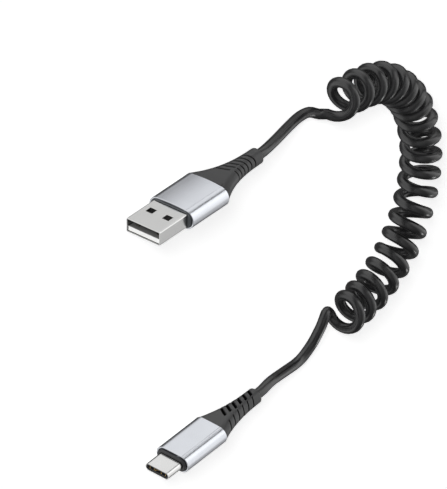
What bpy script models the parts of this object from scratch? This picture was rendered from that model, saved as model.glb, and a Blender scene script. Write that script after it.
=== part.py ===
"""Coiled charging cable: a USB-A plug and a USB-C plug joined by a curly cord.

The cable lies on a level floor. Both plugs point along -X and lie on their narrow
edges, with the wide faces square to Y, and the curly part lies between them in an arch.
Sizes are in metres. +Z is up.
"""

import math

import bmesh
import bpy
from mathutils import Matrix, Vector

NAME = "coiled_usb_c_cable"

# Clearances between pieces that seat in each other
SEAT_GAP = 0.00015
CONTACT_GAP = 0.00008
CORD_GAP = 0.0003

# USB-A plug, from its mouth back along the plug
A_SHELL_WIDTH = 0.0120
A_SHELL_THICK = 0.0045
A_SHELL_WALL = 0.0003
A_SHELL_CORNER = 0.0004
A_SHELL_EXPOSED = 0.0118
A_SHELL_ROOT = 0.0040
A_WINDOW_LENGTH = 0.0023
A_WINDOW_WIDTH = 0.0023
A_WINDOW_SPACING = 0.0059
A_WINDOW_SETBACK = 0.0072
A_TONGUE_THICK = 0.00140
A_TONGUE_SETBACK = 0.0003
A_TONGUE_DEPTH = 0.0092
A_CONTACT_WIDTH = 0.0010
A_CONTACT_THICK = 0.0003
A_CONTACT_PROUD = 0.0001
A_CONTACT_OUTER_SPACING = 0.0070
A_CONTACT_INNER_SPACING = 0.0020
A_OUTER_CONTACT_SETBACK = 0.0020
A_INNER_CONTACT_SETBACK = 0.0030
A_COLLAR_PROUD = 0.0005
A_SLEEVE_WIDTH = 0.0158
A_SLEEVE_THICK = 0.0066
A_SLEEVE_CORNER = 0.0029
A_SLEEVE_WALL = 0.0005
A_SLEEVE_LENGTH = 0.0157
A_RELIEF_LENGTH = 0.02175
A_RELIEF_INSET = 0.0002
A_RELIEF_END = 0.0049
A_RELIEF_FLARE = 2.6
A_SLOT_PITCH = 0.00187
A_SLOT_LENGTH = 0.0006
A_SLOT_DEPTH = 0.0009
A_SLOT_SPAN = 0.0017
A_SLOT_SLANT = 0.45
A_END_COLLAR = 0.0047

# USB-C plug, from its mouth back along the plug
C_SHELL_WIDTH = 0.00825
C_SHELL_THICK = 0.0024
C_SHELL_WALL = 0.00025
C_SHELL_CORNER = 0.00115
C_SHELL_EXPOSED = 0.0061
C_SHELL_ROOT = 0.0030
C_INSULATOR_SETBACK = 0.0002
C_SLOT_WIDTH = 0.0068
C_SLOT_HEIGHT = 0.0009
C_SLOT_DEEP = 0.0055
C_CONTACT_WIDTH = 0.00024
C_CONTACT_THICK = 0.00014
C_CONTACT_PITCH = 0.0005
C_CONTACT_SETBACK = 0.0007
C_COLLAR_PROUD = 0.0007
C_SLEEVE_WIDTH = 0.0114
C_SLEEVE_THICK = 0.0055
C_SLEEVE_CORNER = 0.00265
C_SLEEVE_WALL = 0.0005
C_SLEEVE_LENGTH = 0.0172
C_RELIEF_LENGTH = 0.01945
C_RELIEF_INSET = 0.0002
C_RELIEF_END = 0.0047
C_RELIEF_FLARE = 2.3
C_SLOT_PITCH = 0.0023
C_SLOT_LENGTH = 0.0009
C_SLOT_DEPTH = 0.0010
C_SLOT_SPAN = 0.0013
C_SLOT_SLANT = -0.5
C_END_COLLAR = 0.0024

ROOT_STEP = 0.00005
COLLAR_BEVEL = 0.0004
COLLAR_STEPS = 3
SIDE_GROOVE_LENGTH = 0.00045
SIDE_GROOVE_DEPTH = 0.00028
SLOT_COUNT = 6

# Contacts of a charge-and-sync USB-C plug, counted from one side of each row
C_UPPER_PINS = (1, 4, 5, 6, 7, 9, 12)
C_LOWER_PINS = (1, 4, 5, 9, 12)
C_PINS_A_ROW = 12

# Where the plugs lie: the middle of each mouth, the turn about Z and the roll, in degrees
A_MOUTH = (-0.0261, 0.0422)
A_TURN = 0.0
A_ROLL = 0.0
C_MOUTH = (-0.0176, -0.0430)
C_TURN = 4.0
C_ROLL = 4.0

# Cord
CORD_DIAMETER = 0.0031
COIL_DIAMETER = 0.0123

# The cord's route, chosen by hand: along each lead and along the middle of the curly part
A_LEAD_ROUTE = (
    (0.03400, 0.04150, 0.00620),
    (0.04300, 0.04040, 0.00360),
    (0.05000, 0.03940, 0.00180),
    (0.05460, 0.03860, 0.00165),
    (0.05760, 0.03690, 0.00270),
)
COIL_ROUTE = (
    (0.05980, 0.04085, 0.00615),
    (0.06510, 0.04050, 0.00615),
    (0.07190, 0.03980, 0.00615),
    (0.08210, 0.03660, 0.00615),
    (0.09020, 0.02950, 0.00615),
    (0.09590, 0.02040, 0.00615),
    (0.09910, 0.00780, 0.00615),
    (0.09840, -0.00360, 0.00615),
    (0.09450, -0.01450, 0.00615),
    (0.08790, -0.02330, 0.00615),
    (0.07910, -0.02930, 0.00615),
    (0.06910, -0.03230, 0.00615),
    (0.06460, -0.03270, 0.00615),
)
C_LEAD_ROUTE = (
    (0.06260, -0.03220, 0.00240),
    (0.06100, -0.03080, 0.00330),
    (0.05950, -0.03030, 0.00400),
    (0.05850, -0.03160, 0.00410),
    (0.05780, -0.03380, 0.00370),
    (0.05690, -0.03680, 0.00280),
    (0.05580, -0.03950, 0.00200),
    (0.05220, -0.04220, 0.00160),
    (0.04860, -0.04270, 0.00180),
    (0.04320, -0.04160, 0.00290),
    (0.03390, -0.03960, 0.00490),
)
# Where each lead meets the curly part: degrees round its middle, from the arch's outside, up first
A_JOIN_TURN = 203
C_JOIN_TURN = 288

# Facets
ROUND_STEPS = 6
TINY_ROUND_STEPS = 3
RELIEF_SECTIONS = 16
TUBE_ROUTE_STEP = 0.0050
COIL_ROUTE_STEP = 0.0040
CORD_FACETS = 2
COIL_FACETS = 4


def clear_scene():
    for old in list(bpy.data.objects):
        bpy.data.objects.remove(old, do_unlink=True)


def new_collection(name):
    collection = bpy.data.collections.new(name)
    bpy.context.scene.collection.children.link(collection)
    return collection


def new_material(name, colour, roughness, metallic):
    material = bpy.data.materials.new(name)
    material.use_nodes = True
    shader = material.node_tree.nodes["Principled BSDF"]
    shader.inputs["Base Color"].default_value = (*colour, 1.0)
    shader.inputs["Roughness"].default_value = roughness
    shader.inputs["Metallic"].default_value = metallic
    return material


def outline(width, thick, corner, steps=ROUND_STEPS):
    """Points (y, z) of a rounded rectangle, thick along y and width along z."""
    corner = min(corner, 0.49 * thick, 0.49 * width)
    points = []
    for quarter in range(4):
        turn = math.pi / 2 * quarter
        side_y = 1 if quarter in (0, 3) else -1
        side_z = 1 if quarter in (0, 1) else -1
        centre_y = side_y * (thick / 2 - corner)
        centre_z = side_z * (width / 2 - corner)
        for step in range(steps + 1):
            angle = turn + math.pi / 2 * step / steps
            points.append((centre_y + corner * math.cos(angle), centre_z + corner * math.sin(angle)))
    return points


class Plug:
    """A plug's place and collections: pieces are modelled along local +X from the mouth."""

    def __init__(self, name, mouth, turn, roll, half_width, parts, cutters):
        self.parts = parts
        self.cutters = cutters
        self.empty = bpy.data.objects.new(name, None)
        self.empty.location = (mouth[0], mouth[1], half_width)
        self.empty.rotation_euler = (math.radians(roll), 0, math.radians(turn))
        parts.objects.link(self.empty)

    def add(self, name, bm, material):
        bmesh.ops.recalc_face_normals(bm, faces=bm.faces)
        mesh = bpy.data.meshes.new(name)
        bm.to_mesh(mesh)
        bm.free()
        piece = bpy.data.objects.new(name, mesh)
        piece.parent = self.empty
        piece.data.materials.append(material)
        self.parts.objects.link(piece)
        return piece

    def cut(self, piece, bm, name):
        """Cuts the shapes in bm out of the piece."""
        bmesh.ops.recalc_face_normals(bm, faces=bm.faces)
        mesh = bpy.data.meshes.new(name)
        bm.to_mesh(mesh)
        bm.free()
        cutter = bpy.data.objects.new(name, mesh)
        cutter.parent = self.empty
        cutter.hide_render = True
        cutter.display_type = "WIRE"
        self.cutters.objects.link(cutter)
        boolean = piece.modifiers.new(name, "BOOLEAN")
        boolean.object = cutter
        boolean.operation = "DIFFERENCE"
        boolean.solver = "EXACT"


def block(bm, low, high, slant=0.0):
    """A box between two corners, whose x runs on by the slant for each unit of z."""
    size = [high[i] - low[i] for i in range(3)]
    centre = [(high[i] + low[i]) / 2 for i in range(3)]
    matrix = Matrix.Translation(centre) @ Matrix.Diagonal((*size, 1))
    verts = bmesh.ops.create_cube(bm, size=1, matrix=matrix)["verts"]
    for vert in verts:
        vert.co.x += slant * vert.co.z
    return verts


def prism(bm, points, start, end):
    """An outline in the y-z plane pulled from x = start to x = end."""
    face = bm.faces.new([bm.verts.new((start, y, z)) for y, z in points])
    pulled = bmesh.ops.extrude_face_region(bm, geom=[face])
    moved = [item for item in pulled["geom"] if isinstance(item, bmesh.types.BMVert)]
    bmesh.ops.translate(bm, vec=(end - start, 0, 0), verts=moved)


def loft(bm, sections):
    """A closed skin through rounded rectangles, each (x, width, thick, corner)."""
    rings = []
    for x, width, thick, corner in sections:
        rings.append([bm.verts.new((x, y, z)) for y, z in outline(width, thick, corner)])
    for ring, following in zip(rings, rings[1:]):
        for i in range(len(ring)):
            bm.faces.new((ring[i - 1], ring[i], following[i], following[i - 1]))
    bm.faces.new(rings[0])
    bm.faces.new(rings[-1])


def open_tube(sections):
    """The wall alone, with a ring at each section (x, width, thickness, corner, steps), for a
    Solidify modifier."""
    bm = bmesh.new()
    rings = [[bm.verts.new((x, y, z)) for y, z in outline(*shape)] for x, *shape in sections]
    for ring, following in zip(rings, rings[1:]):
        for i in range(len(ring)):
            bm.faces.new((ring[i - 1], ring[i], following[i], following[i - 1]))
    return bm


def add_wall(piece, wall):
    """Gives an open tube its wall, inwards from its outer face."""
    solidify = piece.modifiers.new("wall", "SOLIDIFY")
    solidify.thickness = wall
    solidify.offset = -1
    solidify.use_even_offset = True


def smooth(piece):
    piece.data.shade_smooth()
    piece.data.set_sharp_from_angle(angle=math.radians(35))


def add_shell(plug, name, shape, wall, exposed, length, material):
    """A shell that is drawn in a little behind its exposed part, where it seats in the mould."""
    width, thick, corner, steps = shape
    drawn_in = (width - 2 * ROOT_STEP, thick - 2 * ROOT_STEP, corner - ROOT_STEP, steps)
    sections = ((0, *shape), (exposed - SEAT_GAP, *shape), (exposed, *drawn_in), (length, *drawn_in))
    piece = plug.add(name, open_tube(sections), material)
    add_wall(piece, wall)
    smooth(piece)
    return piece


def add_mould(plug, name, span, body, pocket, pocket_end, material):
    """The block behind the shell, inside the sleeve, with a rounded front edge and a pocket
    for the shell."""
    start, end = span
    sections = []
    for number in range(COLLAR_STEPS + 1):
        angle = math.pi / 2 * number / COLLAR_STEPS
        inset = COLLAR_BEVEL * (1 - math.sin(angle))
        ahead = COLLAR_BEVEL * (1 - math.cos(angle))
        width, thick, corner = body
        sections.append((start + ahead, width - 2 * inset, thick - 2 * inset, corner - inset))
    sections.append((end, *body))
    bm = bmesh.new()
    loft(bm, sections)
    piece = plug.add(name, bm, material)
    cutter = bmesh.new()
    prism(cutter, outline(*pocket), start - COLLAR_BEVEL, pocket_end)
    plug.cut(piece, cutter, name + "_pocket")
    smooth(piece)
    return piece


def flare(share, power):
    """How much of the flare is left at a share of the strain relief's length."""
    return (1 - share) ** power


def relief_size(share, relief):
    """Width, thickness and corner of a strain relief at a share of its length."""
    left = flare(share, relief["flare"])
    end = relief["end"]
    width = end + (relief["width"] - end) * left
    thick = end + (relief["thick"] - end) * left
    round_end = 0.48 * end
    return width, thick, round_end + (relief["corner"] - round_end) * left


def add_relief(plug, name, start, relief, material):
    """A tapering strain relief with slots on its wide faces and fine grooves on its edges."""
    sections = []
    for section in range(RELIEF_SECTIONS + 1):
        share = section / RELIEF_SECTIONS
        sections.append((start + relief["length"] * share, *relief_size(share, relief)))
    bm = bmesh.new()
    loft(bm, sections)
    piece = plug.add(name, bm, material)

    cutter = bmesh.new()
    last = relief["length"] - relief["end_collar"]
    half_slot = relief["slot_length"] / 2
    half_groove = SIDE_GROOVE_LENGTH / 2
    span = relief["slot_span"]
    slant = relief["slot_slant"]
    for number in range(SLOT_COUNT):
        behind = last - relief["slot_pitch"] * number
        width, thick, _ = relief_size(behind / relief["length"], relief)
        x = start + behind
        for side in (-1, 1):
            near = side * (thick / 2 - relief["slot_depth"])
            low, high = sorted((near, side * thick))
            block(cutter, (x - half_slot, low, -span), (x + half_slot, high, span), slant)
            at_side = behind + side * slant * width / 2
            side_width = relief_size(at_side / relief["length"], relief)[0]
            near = side * (side_width / 2 - SIDE_GROOVE_DEPTH)
            low, high = sorted((near, side * width))
            x_side = start + at_side
            block(cutter, (x_side - half_groove, -thick / 2, low), (x_side + half_groove, thick / 2, high))
    plug.cut(piece, cutter, name + "_slots")
    smooth(piece)
    return piece


def build_usb_a(plug, finishes):
    shell_length = A_SHELL_EXPOSED + A_SHELL_ROOT
    shell = add_shell(
        plug, "usb_a_shell", (A_SHELL_WIDTH, A_SHELL_THICK, A_SHELL_CORNER, TINY_ROUND_STEPS),
        A_SHELL_WALL, A_SHELL_EXPOSED, shell_length, finishes["steel"],
    )
    windows = bmesh.new()
    for side in (-1, 1):
        z = side * A_WINDOW_SPACING / 2
        block(
            windows,
            (A_WINDOW_SETBACK - A_WINDOW_LENGTH / 2, -A_SHELL_THICK, z - A_WINDOW_WIDTH / 2),
            (A_WINDOW_SETBACK + A_WINDOW_LENGTH / 2, A_SHELL_THICK, z + A_WINDOW_WIDTH / 2),
        )
    plug.cut(shell, windows, "usb_a_windows")

    inner_half = A_SHELL_THICK / 2 - A_SHELL_WALL - SEAT_GAP
    inner_width = A_SHELL_WIDTH - 2 * (A_SHELL_WALL + SEAT_GAP)
    tongue_top = A_TONGUE_THICK - inner_half
    tongue_back = A_TONGUE_SETBACK + A_TONGUE_DEPTH
    inner_corner = A_SHELL_CORNER - A_SHELL_WALL
    bm = bmesh.new()
    prism(bm, outline(inner_width, 2 * inner_half, inner_corner, 2), A_TONGUE_SETBACK, shell_length)
    insulator = plug.add("usb_a_insulator", bm, finishes["white"])
    room = bmesh.new()
    block(room, (-A_SHELL_WALL, tongue_top, -A_SHELL_WIDTH), (tongue_back, A_SHELL_THICK, A_SHELL_WIDTH))
    plug.cut(insulator, room, "usb_a_receptacle_room")

    spots = (-A_CONTACT_OUTER_SPACING, -A_CONTACT_INNER_SPACING, A_CONTACT_INNER_SPACING, A_CONTACT_OUTER_SPACING)
    contact_top = tongue_top + A_CONTACT_PROUD
    contact_low = contact_top - A_CONTACT_THICK
    grooves = bmesh.new()
    for number, spot in enumerate(spots, start=1):
        z = spot / 2
        outer = abs(spot) == A_CONTACT_OUTER_SPACING
        front = A_OUTER_CONTACT_SETBACK if outer else A_INNER_CONTACT_SETBACK
        half = A_CONTACT_WIDTH / 2
        back = tongue_back - CONTACT_GAP
        bm = bmesh.new()
        block(bm, (front, contact_low, z - half), (back, contact_top, z + half))
        plug.add(f"usb_a_contact_{number}", bm, finishes["gold"])
        gap = CONTACT_GAP
        block(
            grooves,
            (front - gap, contact_low - gap, z - half - gap),
            (tongue_back, A_SHELL_THICK, z + half + gap),
        )
    plug.cut(insulator, grooves, "usb_a_contact_grooves")

    inset = A_SLEEVE_WALL + SEAT_GAP
    body = (A_SLEEVE_WIDTH - 2 * inset, A_SLEEVE_THICK - 2 * inset, A_SLEEVE_CORNER - inset)
    sleeve_start = A_SHELL_EXPOSED + A_COLLAR_PROUD
    sleeve_end = sleeve_start + A_SLEEVE_LENGTH
    pocket = (A_SHELL_WIDTH + 2 * SEAT_GAP, A_SHELL_THICK + 2 * SEAT_GAP, A_SHELL_CORNER, TINY_ROUND_STEPS)
    add_mould(
        plug, "usb_a_inner_mould", (A_SHELL_EXPOSED, sleeve_end), body,
        pocket, shell_length + SEAT_GAP, finishes["rubber"],
    )
    outside = (A_SLEEVE_WIDTH, A_SLEEVE_THICK, A_SLEEVE_CORNER)
    sleeve = plug.add(
        "usb_a_sleeve",
        open_tube([(x, *outside) for x in (sleeve_start, sleeve_end)]),
        finishes["aluminium"],
    )
    add_wall(sleeve, A_SLEEVE_WALL)
    smooth(sleeve)
    relief = {
        "length": A_RELIEF_LENGTH, "width": A_SLEEVE_WIDTH - 2 * A_RELIEF_INSET,
        "thick": A_SLEEVE_THICK - 2 * A_RELIEF_INSET, "corner": A_SLEEVE_CORNER - A_RELIEF_INSET,
        "end": A_RELIEF_END, "flare": A_RELIEF_FLARE, "end_collar": A_END_COLLAR,
        "slot_pitch": A_SLOT_PITCH, "slot_length": A_SLOT_LENGTH, "slot_depth": A_SLOT_DEPTH,
        "slot_span": A_SLOT_SPAN, "slot_slant": A_SLOT_SLANT,
    }
    add_relief(plug, "usb_a_strain_relief", sleeve_end + SEAT_GAP, relief, finishes["rubber"])
    return sleeve_end + SEAT_GAP + A_RELIEF_LENGTH


def build_usb_c(plug, finishes):
    shell_length = C_SHELL_EXPOSED + C_SHELL_ROOT
    add_shell(
        plug, "usb_c_shell", (C_SHELL_WIDTH, C_SHELL_THICK, C_SHELL_CORNER, ROUND_STEPS),
        C_SHELL_WALL, C_SHELL_EXPOSED, shell_length, finishes["steel"],
    )
    inset = C_SHELL_WALL + SEAT_GAP
    bm = bmesh.new()
    prism(
        bm, outline(C_SHELL_WIDTH - 2 * inset, C_SHELL_THICK - 2 * inset, C_SHELL_CORNER - inset),
        C_INSULATOR_SETBACK, shell_length,
    )
    insulator = plug.add("usb_c_insulator", bm, finishes["black"])
    slot = bmesh.new()
    half_slot = C_SLOT_HEIGHT / 2
    block(
        slot,
        (-C_SHELL_WALL, -half_slot, -C_SLOT_WIDTH / 2),
        (C_INSULATOR_SETBACK + C_SLOT_DEEP, half_slot, C_SLOT_WIDTH / 2),
    )
    plug.cut(insulator, slot, "usb_c_receptacle_room")
    middle = (C_PINS_A_ROW + 1) / 2
    back = C_INSULATOR_SETBACK + C_SLOT_DEEP - CONTACT_GAP
    for row, side, pins in (("upper", 1, C_UPPER_PINS), ("lower", -1, C_LOWER_PINS)):
        outer = side * (half_slot - CONTACT_GAP)
        inner = side * (half_slot - CONTACT_GAP - C_CONTACT_THICK)
        low, high = sorted((inner, outer))
        for pin in pins:
            z = (pin - middle) * C_CONTACT_PITCH
            half = C_CONTACT_WIDTH / 2
            bm = bmesh.new()
            block(bm, (C_CONTACT_SETBACK, low, z - half), (back, high, z + half))
            plug.add(f"usb_c_{row}_contact_{pin}", bm, finishes["gold"])

    inset = C_SLEEVE_WALL + SEAT_GAP
    body = (C_SLEEVE_WIDTH - 2 * inset, C_SLEEVE_THICK - 2 * inset, C_SLEEVE_CORNER - inset)
    sleeve_start = C_SHELL_EXPOSED + C_COLLAR_PROUD
    sleeve_end = sleeve_start + C_SLEEVE_LENGTH
    pocket = (C_SHELL_WIDTH + 2 * SEAT_GAP, C_SHELL_THICK + 2 * SEAT_GAP, C_SHELL_CORNER + SEAT_GAP)
    add_mould(
        plug, "usb_c_inner_mould", (C_SHELL_EXPOSED, sleeve_end), body,
        pocket, shell_length + SEAT_GAP, finishes["black"],
    )
    outside = (C_SLEEVE_WIDTH, C_SLEEVE_THICK, C_SLEEVE_CORNER)
    sleeve = plug.add(
        "usb_c_sleeve",
        open_tube([(x, *outside) for x in (sleeve_start, sleeve_end)]),
        finishes["aluminium"],
    )
    add_wall(sleeve, C_SLEEVE_WALL)
    smooth(sleeve)
    relief = {
        "length": C_RELIEF_LENGTH, "width": C_SLEEVE_WIDTH - 2 * C_RELIEF_INSET,
        "thick": C_SLEEVE_THICK - 2 * C_RELIEF_INSET, "corner": C_SLEEVE_CORNER - C_RELIEF_INSET,
        "end": C_RELIEF_END, "flare": C_RELIEF_FLARE, "end_collar": C_END_COLLAR,
        "slot_pitch": C_SLOT_PITCH, "slot_length": C_SLOT_LENGTH, "slot_depth": C_SLOT_DEPTH,
        "slot_span": C_SLOT_SPAN, "slot_slant": C_SLOT_SLANT,
    }
    add_relief(plug, "usb_c_strain_relief", sleeve_end + SEAT_GAP, relief, finishes["rubber"])
    return sleeve_end + SEAT_GAP + C_RELIEF_LENGTH


def curve_point(before, start, end, after, share):
    """A point on the smooth curve through four route points, between the middle two."""
    square = share * share
    cube = square * share
    return 0.5 * (
        2 * start
        + (end - before) * share
        + (2 * before - 5 * start + 4 * end - after) * square
        + (3 * start - before - 3 * end + after) * cube
    )


def smooth_route(points, step):
    """Points about one step apart on a smooth curve through the route's points."""
    route = [Vector(point) for point in points]
    route = [2 * route[0] - route[1]] + route + [2 * route[-1] - route[-2]]
    found = []
    for i in range(1, len(route) - 2):
        pieces = max(1, round((route[i + 1] - route[i]).length / step))
        for number in range(pieces):
            found.append(curve_point(route[i - 1], route[i], route[i + 1], route[i + 2], number / pieces))
    found.append(route[-2])
    return found


def add_tube(name, points, diameter, facets, parts, material):
    """A round tube along the points, with flat closed ends."""
    curve = bpy.data.curves.new(name, "CURVE")
    curve.dimensions = "3D"
    curve.bevel_depth = diameter / 2
    curve.bevel_resolution = facets
    curve.use_fill_caps = True
    spline = curve.splines.new("POLY")
    spline.points.add(len(points) - 1)
    for spot, point in zip(spline.points, points):
        spot.co = (*point, 1)
    tube = bpy.data.objects.new(name, curve)
    curve.materials.append(material)
    parts.objects.link(tube)
    return tube


def plug_tail(mouth, turn, half_width, length):
    """The middle of a strain relief's end, where the cord leaves it, and the way it points."""
    way = Vector((math.cos(math.radians(turn)), math.sin(math.radians(turn)), 0))
    return Vector((mouth[0], mouth[1], half_width)) + way * length, way


def coil_end(end, inner, turn):
    """Where a lead meets the curly part's end, and the way it leaves along the coil's middle."""
    way = (Vector(end) - Vector(inner)).normalized()
    return Vector(end), way, math.radians(turn)


def join_point(end, way, outward, turn):
    """A point on the coil's end face, as far out as the cord's middle runs in its turns."""
    reach = (COIL_DIAMETER - CORD_DIAMETER) / 2
    side = outward * math.cos(turn) + Vector((0, 0, 1)) * math.sin(turn)
    return end + side * reach + way * CORD_GAP


def build_cord(a_tail, c_tail, parts, material):
    """The two leads, and one fat tube for the curly part."""
    a_end, a_way = a_tail
    c_end, c_way = c_tail
    a_start = a_end + a_way * CORD_GAP
    c_start = c_end + c_way * CORD_GAP
    a_coil, a_leave, a_turn = coil_end(COIL_ROUTE[0], COIL_ROUTE[1], A_JOIN_TURN)
    c_coil, c_leave, c_turn = coil_end(COIL_ROUTE[-1], COIL_ROUTE[-2], C_JOIN_TURN)
    a_join = join_point(a_coil, a_leave, Vector((a_leave.y, -a_leave.x, 0)), a_turn)
    c_join = join_point(c_coil, c_leave, Vector((-c_leave.y, c_leave.x, 0)), c_turn)
    straight = CORD_DIAMETER
    step = TUBE_ROUTE_STEP
    a_points = [a_start, a_start + a_way * straight, *A_LEAD_ROUTE, a_join + a_leave * CORD_GAP, a_join]
    c_points = [c_join, c_join + c_leave * CORD_GAP, *C_LEAD_ROUTE, c_start + c_way * straight, c_start]
    add_tube("lead_usb_a", smooth_route(a_points, step), CORD_DIAMETER, CORD_FACETS, parts, material)
    add_tube("coil", smooth_route(COIL_ROUTE, COIL_ROUTE_STEP), COIL_DIAMETER, COIL_FACETS, parts, material)
    add_tube("lead_usb_c", smooth_route(c_points, step), CORD_DIAMETER, CORD_FACETS, parts, material)


def main():
    clear_scene()
    parts = new_collection(NAME)
    cutters = new_collection("cutters")
    cutters.hide_render = True
    finishes = {
        "steel": new_material("plug_steel", (0.78, 0.79, 0.81), 0.25, 1.0),
        "aluminium": new_material("sleeve_aluminium", (0.72, 0.73, 0.76), 0.35, 1.0),
        "gold": new_material("contact_gold", (0.85, 0.62, 0.28), 0.3, 1.0),
        "white": new_material("insulator_white", (0.78, 0.78, 0.77), 0.45, 0.0),
        "black": new_material("insulator_black", (0.015, 0.015, 0.016), 0.45, 0.0),
        "rubber": new_material("relief_rubber", (0.07, 0.073, 0.077), 0.6, 0.0),
        "cord": new_material("cord_jacket", (0.022, 0.022, 0.024), 0.5, 0.0),
    }
    usb_a = Plug("usb_a_plug", A_MOUTH, A_TURN, A_ROLL, A_SLEEVE_WIDTH / 2, parts, cutters)
    a_length = build_usb_a(usb_a, finishes)
    usb_c = Plug("usb_c_plug", C_MOUTH, C_TURN, C_ROLL, C_SLEEVE_WIDTH / 2, parts, cutters)
    c_length = build_usb_c(usb_c, finishes)
    build_cord(
        plug_tail(A_MOUTH, A_TURN, A_SLEEVE_WIDTH / 2, a_length),
        plug_tail(C_MOUTH, C_TURN, C_SLEEVE_WIDTH / 2, c_length),
        parts,
        finishes["cord"],
    )


main()
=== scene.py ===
"""Coiled USB-C cable: its detailed pieces, their finishes and a studio, laid out as an add-on.

The packed solids are the fixed frame. Every piece lies where its solid lies, in metres:
+Z is up from the floor, both plugs point along -X, and their wide faces are square to Y.
"""

import math

import bmesh
import bpy
from mathutils import Matrix, Vector


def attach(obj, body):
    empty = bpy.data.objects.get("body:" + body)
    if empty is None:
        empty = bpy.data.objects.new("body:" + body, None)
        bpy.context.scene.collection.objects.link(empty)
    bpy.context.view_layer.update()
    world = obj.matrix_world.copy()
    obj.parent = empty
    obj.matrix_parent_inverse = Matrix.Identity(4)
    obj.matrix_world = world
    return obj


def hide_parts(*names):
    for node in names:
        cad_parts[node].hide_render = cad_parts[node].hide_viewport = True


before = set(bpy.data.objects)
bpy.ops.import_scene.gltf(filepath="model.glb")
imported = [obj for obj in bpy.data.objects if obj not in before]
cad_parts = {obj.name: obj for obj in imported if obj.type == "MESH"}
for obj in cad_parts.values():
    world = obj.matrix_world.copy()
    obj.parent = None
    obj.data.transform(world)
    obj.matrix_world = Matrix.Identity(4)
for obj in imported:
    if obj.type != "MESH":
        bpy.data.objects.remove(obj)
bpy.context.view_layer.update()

bl_info = {
    "name": "Coiled USB-C Cable",
    "version": (1, 0, 0),
    "blender": (4, 5, 0),
    "location": "3D View > Sidebar > Cable",
    "description": "Dresses the solids of a curly USB-A to USB-C cable and sets up its studio",
    "category": "Object",
}

MM = 0.001

# The leads' route, point for point as in the part's source
A_LEAD_ROUTE = (
    (0.03400, 0.04150, 0.00620),
    (0.04300, 0.04040, 0.00360),
    (0.05000, 0.03940, 0.00180),
    (0.05460, 0.03860, 0.00165),
    (0.05760, 0.03690, 0.00270),
)
C_LEAD_ROUTE = (
    (0.06260, -0.03220, 0.00240),
    (0.06100, -0.03080, 0.00330),
    (0.05950, -0.03030, 0.00400),
    (0.05850, -0.03160, 0.00410),
    (0.05780, -0.03380, 0.00370),
    (0.05690, -0.03680, 0.00280),
    (0.05580, -0.03950, 0.00200),
    (0.05220, -0.04220, 0.00160),
    (0.04860, -0.04270, 0.00180),
    (0.04320, -0.04160, 0.00290),
    (0.03390, -0.03960, 0.00490),
)
# The middle of the turns, one point for every second turn and one more beyond each end.
# It wasn't chosen by hand: another program gave points 2 to 13, TURN_START and both leans
# below, by a least-squares fit to edges of turns that were read by eye in the photograph.
# The part's source has points 3 to 12 rounded to 0.1 mm.
COIL_MIDDLE = (
    (0.04009, 0.04203),
    (0.05834, 0.04087),
    (0.07192, 0.03977),
    (0.08208, 0.03658),
    (0.09019, 0.02948),
    (0.09588, 0.02041),
    (0.09908, 0.00784),
    (0.09838, -0.00357),
    (0.09449, -0.01452),
    (0.08791, -0.02334),
    (0.07912, -0.02926),
    (0.06914, -0.03228),
    (0.05960, -0.03257),
    (0.05170, -0.03028),
)
FIRST_MIDDLE_TURN = -0.5
TURNS_A_POINT = 2
COIL_HEIGHT = 0.00615
FIRST_TURN = -0.27
LAST_TURN = 20.5
TURN_START = -1.8558
COIL_TURNS = 21
# How far each turn leans along the coil: at the coil's start, half way and at its end
LEAN_OUTSIDE = (-0.000109, 0.000130, 0.000265)
LEAN_ABOVE = (-0.001100, 0.000303, -0.000170)
# How finely the cord is drawn, and how it sits in the strain reliefs
POINTS_A_TURN = 28
CORD_STEP = 0.0013
CORD_SEAT = 0.0006
CORD_STRAIGHT = 0.0034
LEAD_STEP_TURNS = 0.08
CURVE_STEP = 0.001


def length_property(name, description, default):
    return bpy.props.FloatProperty(
        name=name, description=description, default=default, min=0.0, precision=5,
        unit="LENGTH", subtype="DISTANCE",
    )


def strength_property(name, description, default):
    return bpy.props.FloatProperty(name=name, description=description, default=default, min=0.0)


def slant_property(default):
    return bpy.props.FloatProperty(
        name="Slot slant", description="How far each slot runs along the plug for its width",
        default=default, subtype="FACTOR", min=-1.0, max=1.0,
    )


def colour_property(name, description, default):
    return bpy.props.FloatVectorProperty(
        name=name, description=description, default=default, min=0.0, max=1.0, size=3,
        subtype="COLOR",
    )


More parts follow.
